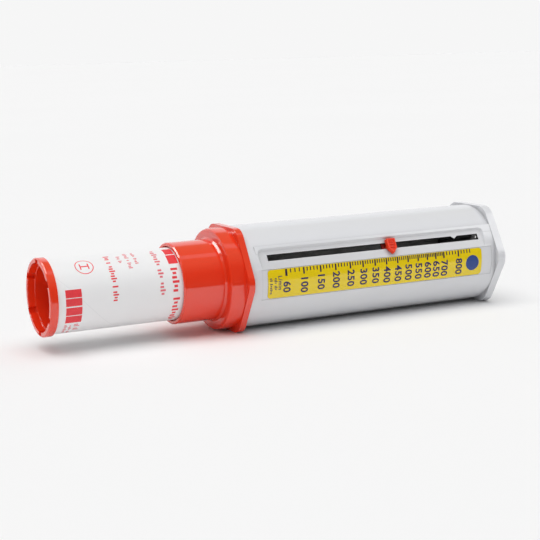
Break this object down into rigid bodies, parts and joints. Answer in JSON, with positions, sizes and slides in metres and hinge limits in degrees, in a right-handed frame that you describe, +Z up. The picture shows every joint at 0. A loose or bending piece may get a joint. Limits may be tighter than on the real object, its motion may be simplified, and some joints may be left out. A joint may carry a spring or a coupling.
{
  "type": "peak flow meter",
  "caption": "Hand-held peak flow meter: a sprung piston in a slotted barrel pushes a pointer along a scale; a cardboard mouthpiece with a one-way valve plugs into the nozzle.",
  "frame": {"origin": "middle of the footprint on the surface that the two hexagon flanges rest on", "axes": "+X along the meter's axis from the mouth ring to the rear, +Z up, -Y to the reader, with the slot and scale on the upper side facing the reader"},
  "size_m": [0.2092, 0.0486, 0.0439],
  "materials": {
    "grey_plastic": "satin moulded",
    "red_plastic": "glossy moulded",
    "yellow_label": "printed film",
    "steel": "drawn",
    "black_rubber": "soft",
    "dark_plastic": "light moulded",
    "white_plastic": "slippery",
    "white_card": "wound cardboard with a smooth white face",
    "clear_film": "thin film"
  },
  "bodies": {
    "meter": {"barrel": "grey_plastic", "rear_vent_plate": "grey_plastic", "nozzle": "red_plastic", "scale_label": "yellow_label", "guide_rod": "steel", "rod_nut": "steel", "rod_clip": "steel", "front_buffer": "black_rubber", "rear_buffer": "black_rubber", "spring_seat": "steel", "return_spring": "steel"},
    "piston": {"piston": "dark_plastic", "piston_bush": "white_plastic"},
    "pointer": {"pointer": "red_plastic", "pointer_shoe": "red_plastic", "pointer_leaf": "steel"},
    "mouthpiece": {"mouthpiece_tube": "white_card", "valve_body": "red_plastic", "valve_clip": "red_plastic"},
    "flap": {"valve_flap": "clear_film"}
  },
  "joints": [
    {"name": "piston_slide", "type": "slide", "parent": "meter", "child": "piston", "axis": [1, 0, 0], "range_m": [0, 0.09975], "stiffness_N_per_m": 6, "springref_m": -0.02, "deforming": ["return_spring"]},
    {"name": "pointer_slide", "type": "slide", "parent": "meter", "child": "pointer", "axis": [1, 0, 0], "range_m": [-0.0574, 0.0442]},
    {"name": "mouthpiece_pull", "type": "slide", "parent": "meter", "child": "mouthpiece", "axis": [-1, 0, 0], "range_m": [0, 0.022]},
    {"name": "valve_flap_swing", "type": "hinge", "parent": "mouthpiece", "child": "flap", "pos_m": [-0.08657, 0, 0.03325], "axis": [0, -1, 0], "range_deg": [0, 60]}
  ]
}
